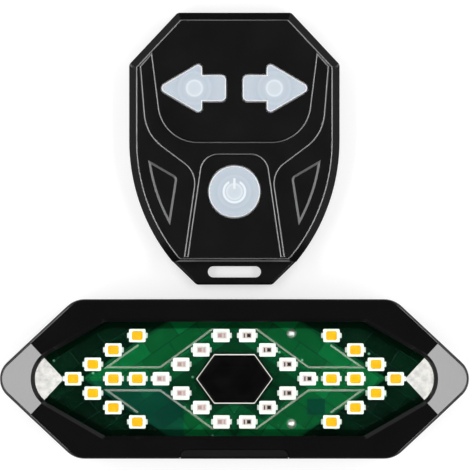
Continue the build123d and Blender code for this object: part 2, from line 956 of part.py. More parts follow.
def arrow_outline(side, growth=0):
    """One arrow key, pointing right (1) or left (-1), grown by this much all round."""
    back = arrow_head_back_x
    head = arrow_head_height / 2
    shaft = arrow_shaft_height / 2
    tail = back - arrow_shaft_length
    with BuildSketch() as arrow:
        with BuildLine():
            FilletPolyline(
                (side * (back + arrow_head_length), arrow_key_y),
                (side * back, arrow_key_y + head), (side * back, arrow_key_y + shaft),
                (side * tail, arrow_key_y + shaft), (side * tail, arrow_key_y - shaft),
                (side * back, arrow_key_y - shaft), (side * back, arrow_key_y - head),
                radius=[
                    arrow_tip_radius, arrow_head_radius, 0, arrow_tail_radius,
                    arrow_tail_radius, 0, arrow_head_radius,
                ],
                close=True,
            )
        make_face()
        if growth:
            offset(amount=growth)
    return arrow.sketch


def power_outline(growth=0):
    """The remote's round power key, grown by this much all round."""
    with BuildSketch() as disc:
        with Locations((0, power_key_y)):
            Circle(power_key_diameter / 2 + growth)
    return disc.sketch


def key_outlines(growth):
    """All three keys, grown by this much all round."""
    with BuildSketch() as keys:
        add(arrow_outline(-1, growth))
        add(arrow_outline(1, growth))
        add(power_outline(growth))
    return keys.sketch


def rib_outline():
    """The raised harness of ribs between the arrow panel, the flanks and the power key."""
    side_points = [share_point(share) for share in rib_side_shares]
    side_radii = [share * remote_width / 2 for share in rib_side_radius_shares]
    right = [share_point(rib_top_share)] + side_points + [
        share_point(tomb_foot_share), share_point(tomb_corner_share)
    ]
    right_radii = [0] + side_radii + [0, tomb_radius_share * remote_width / 2]
    panel = share_point(panel_corner_share)
    panel_radius = panel_radius_share * remote_width / 2
    points = right + [mirrored(point) for point in reversed(right)] + [mirrored(panel), panel]
    with BuildSketch() as ribs:
        with BuildLine():
            FilletPolyline(
                *points,
                radius=right_radii + right_radii[::-1] + [panel_radius, panel_radius],
                close=True,
            )
        make_face()
    return ribs.sketch


def leaf_outline():
    """The long pointed recess on each flank."""
    with BuildSketch() as leaf:
        with BuildLine():
            ThreePointArc(
                share_point(leaf_top_share), share_point(leaf_side_share),
                share_point(leaf_foot_share),
            )
            Polyline(
                share_point(leaf_foot_share), share_point(leaf_inner_share),
                share_point(leaf_top_share),
            )
        make_face()
        fillet(
            leaf.vertices().sort_by(Axis.X)[0], radius=leaf_corner_radius_share * remote_width / 2
        )
        mirror(about=Plane.YZ)
    return leaf.sketch


# Remote top cover: matt black, bevelled all round, with raised ribs and two leaf recesses
with BuildPart() as top_cover:
    with BuildSketch(remote_level(remote_parting_height)):
        add(cover_outline())
    extrude(amount=remote_face_height - remote_bevel_depth - remote_parting_height)
    with BuildSketch(remote_level(remote_face_height - remote_bevel_depth)):
        add(cover_outline())
    with BuildSketch(remote_level(remote_face_height)):
        add(cover_outline(remote_bevel_width, remote_foot_bevel_width))
    loft(ruled=True)
    fillet(top_cover.faces().sort_by(Axis.Z)[-1].edges(), radius=remote_face_edge)
    with BuildSketch(remote_level(remote_face_height - relief_rise)):
        add(rib_outline())
    extrude(amount=relief_rise * 2)
    fillet(top_cover.faces().sort_by(Axis.Z)[-1].edges(), radius=relief_edge)
    with BuildSketch(remote_level(remote_face_height)):
        add(leaf_outline())
    extrude(amount=-leaf_depth, taper=leaf_side_angle, mode=Mode.SUBTRACT)
    with BuildSketch(remote_level(remote_parting_height)):
        add(cover_outline(remote_wall))
    extrude(amount=remote_roof_underside - remote_parting_height, mode=Mode.SUBTRACT)
    with BuildSketch(remote_level(remote_parting_height)):
        with Locations(*remote_screw_places):
            Circle(boss_radius)
            Circle(screw_radius + seat_gap, mode=Mode.SUBTRACT)
    extrude(amount=remote_roof_underside - remote_parting_height)
    with BuildSketch(remote_level(remote_roof_underside)):
        add(key_outlines(key_gap))
    extrude(amount=remote_face_height, mode=Mode.SUBTRACT)
save(top_cover, "remote_top_cover")

# Remote bottom cover: matt black shell with the strap lug, the screw tubes and the cell well
with BuildPart() as strap_lug:
    with BuildSketch(remote_level(lug_lift)):
        add(remote_outline())
    extrude(amount=lug_thickness)
    fillet(strap_lug.edges().group_by(Axis.Z)[-1], radius=lug_edge)
    with BuildSketch(remote_level(0)):
        with Locations((0, lug_length + overrun)):
            Rectangle(remote_width, remote_length)
    extrude(amount=remote_face_height, mode=Mode.SUBTRACT)

with BuildPart() as bottom_cover:
    with BuildSketch(remote_level(0)):
        add(cover_outline(remote_back_edge))
    with BuildSketch(remote_level(remote_back_edge)):
        add(cover_outline())
    loft(ruled=True)
    with BuildSketch(remote_level(remote_back_edge)):
        add(cover_outline())
    extrude(amount=remote_parting_height - remote_back_edge)
    add(strap_lug.part)
    with BuildSketch(remote_level(remote_floor)):
        add(cover_outline(remote_tongue_inner))
    extrude(amount=remote_face_height, mode=Mode.SUBTRACT)
    with BuildSketch(remote_level(remote_parting_height)):
        add(cover_outline(remote_tongue_outer))
        add(cover_outline(remote_tongue_inner), mode=Mode.SUBTRACT)
        with Locations(*remote_screw_places):
            Circle(boss_radius + flat_gap * 2, mode=Mode.SUBTRACT)
    extrude(amount=remote_tongue_height)
    with BuildSketch(remote_level(remote_back_edge)):
        with Locations(*remote_screw_places):
            Circle(boss_tube_radius)
    extrude(amount=remote_parting_height - remote_back_edge)
    with BuildSketch(remote_level(0)):
        with Locations((0, cell_y)):
            Circle(cap_tab_radius + cap_gap + well_wall)
    extrude(amount=remote_board_height)
    # The cell's bore, the cap's bore, the groove for the cap's tabs and the slots they enter by
    with BuildSketch(remote_level(0)):
        with Locations((0, cell_y)):
            Circle(cell_radius + cell_gap)
    extrude(amount=remote_board_height, mode=Mode.SUBTRACT)
    with BuildSketch(remote_level(0)):
        with Locations((0, cell_y)):
            Circle(cap_radius + cap_gap)
            with PolarLocations(0, cap_tab_count, start_angle=cap_turn):
                with Locations(((cap_tab_radius + cap_gap) / 2, 0)):
                    Rectangle(cap_tab_radius + cap_gap, cap_tab_width + cap_tab_play)
    extrude(amount=cap_top, mode=Mode.SUBTRACT)
    with BuildSketch(remote_level(seal_top)):
        with Locations((0, cell_y)):
            Circle(cap_tab_radius + cap_gap)
    extrude(amount=cap_top - cap_tab_height - running_gap - seal_top, mode=Mode.SUBTRACT)
    # Screw holes from behind, and the strap slot in the lug
    with BuildSketch(remote_level(0)):
        with Locations(*remote_screw_places):
            Circle(screw_head_radius + flat_gap)
    extrude(amount=screw_head_sink, mode=Mode.SUBTRACT)
    with BuildSketch(remote_level(0)):
        with Locations(*remote_screw_places):
            Circle(screw_hole_radius)
        with Locations((0, lug_slot_margin + (lug_slot_width - remote_length) / 2)):
            SlotOverall(lug_slot_length, lug_slot_width)
    extrude(amount=remote_face_height, mode=Mode.SUBTRACT)
save(bottom_cover, "remote_bottom_cover")

# Places of the three keys' switches, from the middle of the remote
switch_places = {
    "left_arrow": (-arrow_switch_x, arrow_key_y),
    "right_arrow": (arrow_switch_x, arrow_key_y),
    "remote_power": (0, power_key_y),
}
key_shapes = {
    "left_arrow": lambda growth: arrow_outline(-1, growth),
    "right_arrow": lambda growth: arrow_outline(1, growth),
    "remote_power": power_outline,
}

# Raised power mark: an open ring with a short bar
with BuildSketch() as power_mark:
    with Locations((0, power_key_y)):
        Circle(power_mark_radius)
        Circle(power_mark_radius - power_mark_width, mode=Mode.SUBTRACT)
    with Locations((0, power_key_y + power_mark_radius)):
        Rectangle(power_mark_gap_width, power_mark_radius * 2, mode=Mode.SUBTRACT)
    with Locations((0, power_key_y + power_mark_bar_foot + power_mark_bar_length / 2)):
        Rectangle(power_mark_width, power_mark_bar_length)

# Milky silicone keys, each with a flange under the cover, and the plunger each one presses
for key_name, key_shape in key_shapes.items():
    with BuildPart() as remote_key:
        with BuildSketch(remote_level(key_flange_foot)):
            add(key_shape(0))
        extrude(amount=key_top - key_flange_foot)
        fillet(remote_key.faces().sort_by(Axis.Z)[-1].edges(), radius=key_edge)
        with BuildSketch(remote_level(key_flange_foot)):
            add(key_shape(key_flange_width))
        extrude(amount=key_flange_height)
        if key_shape is power_outline:
            with BuildSketch(remote_level(key_top)):
                add(power_mark.sketch)
            extrude(amount=power_mark_rise)
    save(remote_key, f"{key_name}_key")
    with BuildPart() as key_plunger:
        with BuildSketch(remote_level(key_switch_top - key_bore_depth + key_travel + flat_gap)):
            with Locations(switch_places[key_name]):
                Circle(key_plunger_radius)
        extrude(
            amount=key_flange_foot - key_switch_top + key_bore_depth - key_travel - flat_gap
        )
    save(key_plunger, f"{key_name}_plunger")

with BuildPart() as key_switches:
    with BuildSketch(remote_level(remote_board_top)):
        with Locations(*switch_places.values()):
            Rectangle(key_switch_size, key_switch_size)
    extrude(amount=key_switch_height)
    with BuildSketch(remote_level(key_switch_top)):
        with Locations(*switch_places.values()):
            Circle(key_plunger_radius + running_gap)
    extrude(amount=-key_bore_depth, mode=Mode.SUBTRACT)
save(key_switches, "remote_key_switches")

# Silicone sheet between the flanges, against the cover
with BuildPart() as key_mat:
    with BuildSketch(remote_level(key_flange_top)):
        add(cover_outline(remote_tongue_inner + remote_board_gap))
        add(key_outlines(key_flange_width + key_mat_gap), mode=Mode.SUBTRACT)
        with Locations(*remote_screw_places):
            Circle(boss_radius + remote_board_gap, mode=Mode.SUBTRACT)
    extrude(amount=-key_mat_thickness)
save(key_mat, "remote_key_mat")

with BuildPart() as remote_board:
    with BuildSketch(remote_level(remote_board_height)):
        add(cover_outline(remote_tongue_inner + remote_board_gap))
        with Locations(*remote_screw_places):
            Circle(boss_radius + remote_board_gap, mode=Mode.SUBTRACT)
    extrude(amount=remote_board_thickness)
save(remote_board, "remote_board")

with BuildPart() as encoder_chip:
    with BuildSketch(remote_level(remote_board_top)):
        with Locations((0, encoder_y)):
            Rectangle(encoder_length, encoder_width)
    extrude(amount=encoder_height)
    chamfer(encoder_chip.faces().sort_by(Axis.Z)[-1].edges(), length=chip_edge)
save(encoder_chip, "encoder_chip")

with BuildPart() as remote_crystal:
    with BuildSketch(remote_level(remote_board_top)):
        with Locations((crystal_x, encoder_y)):
            SlotOverall(crystal_length, crystal_width, rotation=90)
    extrude(amount=crystal_height)
save(remote_crystal, "remote_crystal")

# Coin cell in its well, with a spring leaf above it and a leaf at its side
with BuildPart() as coin_cell:
    with BuildSketch(remote_level(cell_foot)):
        with Locations((0, cell_y)):
            Circle(cell_radius)
    extrude(amount=cell_thickness)
    fillet(coin_cell.edges(), radius=cell_edge)
save(coin_cell, "coin_cell")

leaf_top = remote_board_height - contact_thickness / 2
leaf_foot = cell_top + contact_thickness / 2
with BuildPart() as cell_spring_contact:
    with BuildSketch(upright(remote_y + cell_y)):
        with BuildLine():
            Polyline(
                (-contact_slope_run / 2 - contact_foot, leaf_top),
                (-contact_slope_run / 2, leaf_top),
                (contact_slope_run / 2, leaf_foot),
                (contact_slope_run / 2 + contact_foot, leaf_foot),
            )
        trace(line_width=contact_thickness)
    extrude(amount=contact_width / 2, both=True)
save(cell_spring_contact, "cell_spring_contact")

with BuildPart() as cell_side_contact:
    with BuildSketch(upright(remote_y + cell_y)):
        with BuildLine():
            Polyline(
                (cell_radius + contact_thickness / 2, remote_board_height - side_contact_height),
                (cell_radius + contact_thickness / 2, leaf_top),
                (cell_radius - side_contact_foot, leaf_top),
            )
        trace(line_width=contact_thickness)
    extrude(amount=contact_width / 2, both=True)
save(cell_side_contact, "cell_side_contact")

# Twist cap with three tabs and a coin slot, and its rubber seal
with BuildPart() as battery_cap:
    with BuildSketch(remote_level(cap_recess)):
        with Locations((0, cell_y)):
            Circle(cap_radius)
    extrude(amount=cap_thickness)
    chamfer(battery_cap.faces().sort_by(Axis.Z)[0].edges(), length=cap_edge)
    with BuildSketch(remote_level(cap_top)):
        with Locations((0, cell_y)):
            with PolarLocations(0, cap_tab_count):
                with Locations((cap_tab_radius / 2, 0)):
                    Rectangle(cap_tab_radius, cap_tab_width)
            Circle(cap_tab_radius, mode=Mode.INTERSECT)
    extrude(amount=-cap_tab_height)
    with BuildSketch(remote_level(cap_recess)):
        with Locations((0, cell_y)):
            SlotOverall(cap_slot_length, cap_slot_width)
    extrude(amount=cap_slot_depth, mode=Mode.SUBTRACT)
save(battery_cap, "battery_cap")

with BuildPart() as cap_seal:
    with BuildSketch(remote_level(cell_foot)):
        with Locations((0, cell_y)):
            Circle(cap_tab_radius - running_gap)
            Circle(seal_inner_radius, mode=Mode.SUBTRACT)
    extrude(amount=seal_thickness)
save(cap_seal, "battery_cap_seal")

# Remote screws with the same slotted heads as the housing's
with BuildPart() as remote_screws:
    with BuildSketch(remote_level(screw_head_sink)):
        with Locations(*remote_screw_places):
            Circle(screw_head_radius)
    extrude(amount=-screw_head_height)
    with BuildSketch(remote_level(screw_head_sink)):
        with Locations(*remote_screw_places):
            Circle(screw_radius)
    extrude(amount=remote_screw_length)
    with BuildSketch(remote_level(screw_head_sink - screw_head_height)):
        with Locations(*remote_screw_places):
            Rectangle(screw_head_radius * 2, screw_slot_width)
    extrude(amount=screw_slot_depth, mode=Mode.SUBTRACT)
save(remote_screws, "remote_screws")
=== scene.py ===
# %% [markdown]
# # Bicycle turn signal light: finishes, light and camera
# The set is a tail lamp with a clear lens over rows of LEDs and a small wireless remote with milky
# keys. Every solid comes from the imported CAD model, in metres and already in place, so this file
# only gives the pieces their finishes and lights them.

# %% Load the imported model
import json
import math

import bpy
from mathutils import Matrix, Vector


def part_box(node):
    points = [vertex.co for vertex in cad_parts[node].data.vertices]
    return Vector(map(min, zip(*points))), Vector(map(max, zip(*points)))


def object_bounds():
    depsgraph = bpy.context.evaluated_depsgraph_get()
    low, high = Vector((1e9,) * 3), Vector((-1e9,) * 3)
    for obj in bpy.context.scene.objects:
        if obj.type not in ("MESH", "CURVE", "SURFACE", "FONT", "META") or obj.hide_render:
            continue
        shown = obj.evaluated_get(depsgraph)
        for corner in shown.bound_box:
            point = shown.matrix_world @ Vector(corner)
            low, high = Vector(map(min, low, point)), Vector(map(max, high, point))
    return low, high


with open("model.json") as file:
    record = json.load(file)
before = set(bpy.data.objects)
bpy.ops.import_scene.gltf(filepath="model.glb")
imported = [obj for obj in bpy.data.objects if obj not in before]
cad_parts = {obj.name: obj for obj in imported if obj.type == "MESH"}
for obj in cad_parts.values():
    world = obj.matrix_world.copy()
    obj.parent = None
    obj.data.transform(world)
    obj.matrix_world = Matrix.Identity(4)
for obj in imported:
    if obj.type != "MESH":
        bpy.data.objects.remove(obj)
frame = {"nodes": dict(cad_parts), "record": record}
cad_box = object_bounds()
nodes = frame["nodes"]
print("CAD nodes:", len(nodes))

# %% Real sizes that the patterns and the view need, in metres
MM = 0.001
lamp_low, lamp_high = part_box("front_bezel")
cover_low, cover_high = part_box("remote_bottom_cover")
lamp_middle_y = (lamp_low[1] + lamp_high[1]) / 2
remote_middle_y = (cover_low[1] + cover_high[1]) / 2
remote_face_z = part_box("remote_top_cover")[1][2]
print("lamp centre y", round(lamp_middle_y / MM, 2), "mm")
print("remote centre y", round(remote_middle_y / MM, 2), "mm, face z", round(remote_face_z / MM, 2))

# %% [markdown]
# ## Camera
# The photograph looks straight down on both fronts with a long lens, so their sides don't show.
# A camera a metre and a half up with a narrow view gives the same flat look. The photo's width
# covers 100.4 mm at the height of the lamp's edge.

# %% Camera
photo_width = 100.43 * MM
edge_height = 18 * MM
camera_height = 1.5
view_middle = (0.13 * MM, -0.05 * MM)
camera_data = bpy.data.cameras.new("front_view")
camera_data.sensor_width = 36
camera_data.lens = camera_data.sensor_width * (camera_height - edge_height) / photo_width
camera_data.clip_end = 10
camera = bpy.data.objects.new("front_view", camera_data)
camera.location = (*view_middle, camera_height)
bpy.context.collection.objects.link(camera)
bpy.context.scene.camera = camera
bpy.context.scene.view_settings.view_transform = "Standard"
print("camera lens", round(camera_data.lens), "mm")

# %% [markdown]
# ## Small helpers
# Colours are picked as sRGB hex values, as a paint program shows them, and Cycles wants them
# linear. A second helper adds one shader node, sets its options and fills or links its inputs,
# which keeps each material readable as a list of steps.


# %% Colour and node helpers
def linear(hex_colour):
    """An sRGB hex value as linear red, green, blue and alpha."""
    channels = [int(hex_colour[i:i + 2], 16) / 255 for i in (1, 3, 5)]
    return [c / 12.92 if c <= 0.04045 else ((c + 0.055) / 1.055) ** 2.4 for c in channels] + [1]


def add_node(tree, kind, inputs=None, **settings):
    """Adds a node. An input is a value, or a pair of a node and the name of its output."""
    new = tree.nodes.new(kind)
    for name, value in settings.items():
        setattr(new, name, value)
    for key, value in (inputs or {}).items():
        if isinstance(value, tuple) and isinstance(value[0], bpy.types.Node):
            tree.links.new(value[0].outputs[value[1]], new.inputs[key])
        else:
            new.inputs[key].default_value = value
    return new


def new_material(name):
    """An empty node material, and its node tree."""
    material = bpy.data.materials.new(name)
    material.use_nodes = True
    material.node_tree.nodes.clear()
    return material, material.node_tree


# %% [markdown]
# ## A surface that came out of a tool
# Moulded plastic, pressed rubber and stamped metal have three things in common: the colour drifts
# a little over a few millimetres, the gloss drifts with it, and there is a fine grain from the
# tool's own skin. Noise at two real scales gives all three. The grain is drawn no finer than
# about 0.15 mm, because a finer one would vanish at this size of picture.


# %% Helper for moulded, pressed and stamped surfaces
def tooled(
    name, dark, light, patch_mm, gloss, grain_mm, grain_depth_mm, stretch=(1, 1, 1), **shader
):
    """A material with drifting colour and roughness and a fine grain. gloss is (least, most)."""
    material, tree = new_material(name)
    place = add_node(tree, "ShaderNodeTexCoord")
    drawn = add_node(
        tree, "ShaderNodeMapping", {"Vector": (place, "Object"), "Scale": stretch}
    )
    patches = add_node(
        tree, "ShaderNodeTexNoise",
        {"Vector": (drawn, "Vector"), "Scale": 1 / (patch_mm * MM), "Detail": 4.0},
    )
    grain = add_node(
        tree, "ShaderNodeTexNoise",
        {"Vector": (drawn, "Vector"), "Scale": 1 / (grain_mm * MM), "Detail": 2.0},
    )
    colour = add_node(
        tree, "ShaderNodeMix",
        {0: (patches, "Fac"), 6: linear(dark), 7: linear(light)}, data_type="RGBA",
    )
    roughness = add_node(
        tree, "ShaderNodeMapRange",
        {"Value": (patches, "Fac"), "From Min": 0.3, "From Max": 0.7,
         "To Min": gloss[0], "To Max": gloss[1]},
    )
    relief = add_node(
        tree, "ShaderNodeBump",
        {"Height": (grain, "Fac"), "Distance": grain_depth_mm * MM, "Strength": 1.0},
    )
    surface = add_node(
        tree, "ShaderNodeBsdfPrincipled",
        {"Base Color": (colour, "Result"), "Roughness": (roughness, "Result"),
         "Normal": (relief, "Normal"), **shader},
    )
    add_node(tree, "ShaderNodeOutputMaterial", {"Surface": (surface, "BSDF")})
    return material


finishes = {}

# %% [markdown]
# ## Black plastics
# The bezel is ABS from a polished mould, so it mirrors the studio and looks nearly black where it
# faces the dark ceiling. The rear housing comes from a spark-eroded mould, which leaves a fine
# satin grain. The remote's covers, made in the next part, are matt with a painted highlight on
# every edge. The button is satin.

# %% Black plastics
finishes["bezel_black"] = tooled(
    "polished_black_abs", "#0d0d0e", "#121213", 9, (0.03, 0.07), 1.2, 0.0004, IOR=1.5
)
finishes["housing_black"] = tooled(
    "spark_grained_black_abs", "#0f0f10", "#151516", 6, (0.42, 0.52), 0.2, 0.006, IOR=1.5
)
finishes["cap_black"] = tooled(
    "matt_black_nylon", "#0c0c0d", "#121213", 5, (0.42, 0.5), 0.18, 0.004, IOR=1.53
)
finishes["button_black"] = tooled(
    "satin_black_abs", "#040405", "#070708", 4, (0.12, 0.17), 0.2, 0.001, IOR=1.5
)
print("black plastics done")

# %% [markdown]
# ## The remote's covers
# The same matt black ABS, with a painted highlight, a lighter colour and a stronger shine, on every
# rounded edge of the front. A face there that leans between about 8 and 36 degrees is one of those
# edges, so the lean of the face picks out where the highlight is painted. The flat face, the lug
# and the steep sides stay dull.

# %% Colour and grain of the matt plastic
edge_begins, edge_ends = (5, 10), (34, 38)
highlight_depth, highlight_gloss, highlight_shine = 3 * MM, 0.42, 2.6
material, tree = new_material("matt_black_abs")
place = add_node(tree, "ShaderNodeTexCoord")
patches = add_node(
    tree, "ShaderNodeTexNoise", {"Vector": (place, "Object"), "Scale": 1 / (7 * MM), "Detail": 4.0}
)
grain = add_node(
    tree, "ShaderNodeTexNoise", {"Vector": (place, "Object"), "Scale": 1 / (0.2 * MM)}
)
colour = add_node(
    tree, "ShaderNodeMix",
    {0: (patches, "Fac"), 6: linear("#060607"), 7: linear("#090909")}, data_type="RGBA",
)
print("burnished where a face leans", edge_begins[0], "to", edge_ends[1], "degrees")

# %% Where the edge highlight is painted
shape = add_node(tree, "ShaderNodeNewGeometry")
facing = add_node(tree, "ShaderNodeSeparateXYZ", {0: (shape, "True Normal")})
leans = add_node(
    tree, "ShaderNodeMapRange",
    {"Value": (facing, "Z"), "From Min": math.cos(math.radians(edge_begins[0])),
     "From Max": math.cos(math.radians(edge_begins[1])), "To Min": 0, "To Max": 1},
)
not_steep = add_node(
    tree, "ShaderNodeMapRange",
    {"Value": (facing, "Z"), "From Min": math.cos(math.radians(edge_ends[1])),
     "From Max": math.cos(math.radians(edge_ends[0])), "To Min": 0, "To Max": 1},
)
rounded_edge = add_node(
    tree, "ShaderNodeMath", {0: (leans, "Result"), 1: (not_steep, "Result")}, operation="MULTIPLY"
)
spot = add_node(tree, "ShaderNodeSeparateXYZ", {0: (place, "Object")})
by_the_face = add_node(
    tree, "ShaderNodeMath", {0: (spot, "Z"), 1: remote_face_z - highlight_depth},
    operation="GREATER_THAN",
)
painted_highlight = add_node(
    tree, "ShaderNodeMath", {0: (rounded_edge, "Value"), 1: (by_the_face, "Value")},
    operation="MULTIPLY",
)
print("burnished down to", round((remote_face_z - highlight_depth) / MM, 2), "mm")

# %% Matt black with painted edge highlights
# Painted highlight: on the leaning edge faces the colour is lightened to a pale grey and the shine
# raised.
highlight_colour = add_node(
    tree, "ShaderNodeMix",
    {0: (painted_highlight, "Value"), 6: (colour, "Result"), 7: linear("#202022")}, data_type="RGBA",
)
dull = add_node(
    tree, "ShaderNodeMapRange", {"Value": (patches, "Fac"), "To Min": 0.2, "To Max": 0.26}
)
gloss = add_node(
    tree, "ShaderNodeMix",
    {0: (painted_highlight, "Value"), 2: (dull, "Result"), 3: highlight_gloss}, data_type="FLOAT",
)
shine = add_node(
    tree, "ShaderNodeMapRange",
    {"Value": (painted_highlight, "Value"), "To Min": 0.35, "To Max": highlight_shine},
)
relief = add_node(
    tree, "ShaderNodeBump", {"Height": (grain, "Fac"), "Distance": 0.002 * MM, "Strength": 1.0}
)
surface = add_node(
    tree, "ShaderNodeBsdfPrincipled",
    {"Base Color": (highlight_colour, "Result"), "Roughness": (gloss, "Result"), "IOR": 1.5,
     "Specular IOR Level": (shine, "Result"), "Normal": (relief, "Normal")},
)
add_node(tree, "ShaderNodeOutputMaterial", {"Surface": (surface, "BSDF")})
finishes["remote_black"] = material
print("remote covers done")

# %% [markdown]
# ## Rubbers and foam
# Pressed rubber is dull because its skin is full of tiny pits. The post pad and the USB flap are
# black, the hidden gaskets are grey silicone, and the battery's pad is a coarser foam.

# %% Rubbers and foam
finishes["rubber_black"] = tooled(
    "pressed_black_rubber", "#040404", "#070707", 5, (0.4, 0.5), 0.22, 0.004, IOR=1.4,
    **{"Specular IOR Level": 0.15},
)
finishes["gasket_rubber"] = tooled(
    "grey_silicone", "#83878a", "#96999b", 4, (0.45, 0.55), 0.3, 0.003, IOR=1.41
)
finishes["mat_silicone"] = tooled(
    "clear_silicone_sheet", "#b2b8bd", "#c4cacf", 4, (0.35, 0.45), 0.3, 0.003, IOR=1.41
)
finishes["foam"] = tooled(
    "closed_cell_foam", "#2c2c2f", "#3d3d41", 1.5, (0.8, 0.95), 0.4, 0.05, IOR=1.4
)
print("rubbers done")

# %% [markdown]
# ## Metals
# Stamped and turned steel has lines along the way the tool moved, so its noise is stretched in one
# direction. Solder froze from a liquid and is bright and lumpy. Metals keep the default IOR,
# because their colour already says how they mirror.

# %% Metals
finishes["screw_steel"] = tooled(
    "turned_steel", "#8f9092", "#b4b5b6", 1.5, (0.25, 0.38), 0.2, 0.003, Metallic=1.0
)
finishes["socket_steel"] = tooled(
    "stamped_tin_plate", "#a7a8a8", "#c2c2c0", 3, (0.22, 0.34), 0.25, 0.002, (1, 6, 1), Metallic=1.0
)
finishes["cell_steel"] = tooled(
    "brushed_nickel_steel", "#a9a9a6", "#c6c6c2", 3, (0.25, 0.38), 0.2, 0.002, (1, 9, 1),
    Metallic=1.0,
)
finishes["contact_metal"] = tooled(
    "plated_spring_brass", "#b99a58", "#d2b674", 2, (0.25, 0.35), 0.25, 0.002, Metallic=1.0
)
finishes["solder"] = tooled(
    "frozen_solder", "#cfcfcc", "#ececea", 0.8, (0.4, 0.55), 0.4, 0.02, Metallic=1.0
)
finishes["battery_foil"] = tooled(
    "aluminium_pouch_foil", "#9a9ca0", "#b6b8bb", 6, (0.3, 0.42), 1.2, 0.02, Metallic=0.9
)
print("metals done")

# %% [markdown]
# ## Small electrical plastics
# These sit inside and are only seen with the lamp opened, but each has its own colour: black epoxy
# chips, cream nylon switches, a red lead sheath.

# %% Small electrical plastics
finishes["chip_black"] = tooled(
    "moulded_epoxy", "#1b1b1d", "#242427", 1.2, (0.45, 0.58), 0.2, 0.004, IOR=1.55
)
finishes["socket_plastic"] = tooled(
    "black_nylon", "#1a1a1a", "#232323", 2, (0.4, 0.5), 0.2, 0.003, IOR=1.53
)
finishes["switch_plastic"] = tooled(
    "cream_nylon", "#bdb6a4", "#cdc7b6", 2, (0.4, 0.5), 0.25, 0.003, IOR=1.53
)
finishes["lead_pvc"] = tooled(
    "red_pvc", "#8d1712", "#a91f18", 1.5, (0.35, 0.45), 0.3, 0.003, IOR=1.53
)
print("small plastics done")

# %% [markdown]
# ## White LED packages
# The packages are white nylon filled with chalk, so they scatter light just under the skin. A
# short subsurface radius takes the hard look off their edges.

# %% White LED packages
finishes["led_package_white"] = tooled(
    "white_filled_nylon", "#f0efec", "#f8f7f4", 1.5, (0.35, 0.48), 0.2, 0.004, IOR=1.53,
    **{"Subsurface Weight": 0.15, "Subsurface Scale": 0.4 * MM},
)
print("LED packages done")

# %% [markdown]
# ## Amber phosphor windows
# Phosphor grains hang in clear resin: yellow where the layer is thick, a little more orange where
# it thins at the pocket's rim. Fine noise gives the grains, with a glossy resin skin over them.

# %% Amber phosphor windows
finishes["led_amber"] = tooled(
    "amber_phosphor_resin", "#eea200", "#f8be10", 0.7, (0.1, 0.2), 0.2, 0.002, IOR=1.5,
    **{"Subsurface Weight": 0.2, "Subsurface Scale": 0.4 * MM},
)
print("amber windows done")

# %% [markdown]
# ## Clear windows of the red LEDs
# Through the clear resin of a red LED one sees a pale floor with a small die and its bond pad. The
# light falls into the left ones, so their die and pad are painted pinkish as lit, and in the right
# ones they are painted nearly black as shade.
# The packages stand on a regular grid, so wrapping the position by the grid's pitch brings every
# window to the same small square, and one drawing of a die serves all of them.

# %% Place inside a window
red_pitch_x, red_pitch_y, red_first_x = 4.3 * MM, 3.07 * MM, 2.75 * MM
material, tree = new_material("clear_resin_over_die")
place = add_node(tree, "ShaderNodeTexCoord")
spot = add_node(tree, "ShaderNodeSeparateXYZ", {0: (place, "Object")})
side = add_node(tree, "ShaderNodeMath", {0: (spot, "X")}, operation="ABSOLUTE")
from_first = add_node(
    tree, "ShaderNodeMath", {0: (side, "Value"), 1: red_first_x}, operation="SUBTRACT"
)
local_x = add_node(
    tree, "ShaderNodeMath", {0: (from_first, "Value"), 1: red_pitch_x / 2, 2: -red_pitch_x / 2},
    operation="WRAP",
)
from_middle = add_node(
    tree, "ShaderNodeMath", {0: (spot, "Y"), 1: lamp_middle_y}, operation="SUBTRACT"
)
local_y = add_node(
    tree, "ShaderNodeMath", {0: (from_middle, "Value"), 1: red_pitch_y / 2, 2: -red_pitch_y / 2},
    operation="WRAP",
)
local = add_node(tree, "ShaderNodeCombineXYZ", {"X": (local_x, "Value"), "Y": (local_y, "Value")})
drawn = add_node(
    tree, "ShaderNodeMapping", {"Vector": (local, "Vector"), "Scale": (1 / MM, 1 / MM, 1 / MM)}
)
print("red LEDs every", round(red_pitch_x / MM, 2), "by", round(red_pitch_y / MM, 2), "mm")


# %% Soft rectangle in a window
def dark_spot(centre, half_size):
    """1 inside a soft rectangle in the window, in millimetres, 0 outside."""
    moved = add_node(
        tree, "ShaderNodeVectorMath", {0: (drawn, "Vector"), 1: (centre[0], centre[1], 0)},
        operation="SUBTRACT",
    )
    scaled = add_node(
        tree, "ShaderNodeVectorMath",
        {0: (moved, "Vector"), 1: (1 / half_size[0], 1 / half_size[1], 0)}, operation="MULTIPLY",
    )
    folded = add_node(tree, "ShaderNodeVectorMath", {0: (scaled, "Vector")}, operation="ABSOLUTE")
    parts = add_node(tree, "ShaderNodeSeparateXYZ", {0: (folded, "Vector")})
    reach = add_node(
        tree, "ShaderNodeMath", {0: (parts, "X"), 1: (parts, "Y")}, operation="MAXIMUM"
    )
    return add_node(
        tree, "ShaderNodeMapRange",
        {"Value": (reach, "Value"), "From Min": 0.75, "From Max": 1.25, "To Min": 1, "To Max": 0},
    )


# %% Clear windows with a die in each
right_side = add_node(
    tree, "ShaderNodeMath", {0: (spot, "X"), 1: 0.0}, operation="GREATER_THAN"
)
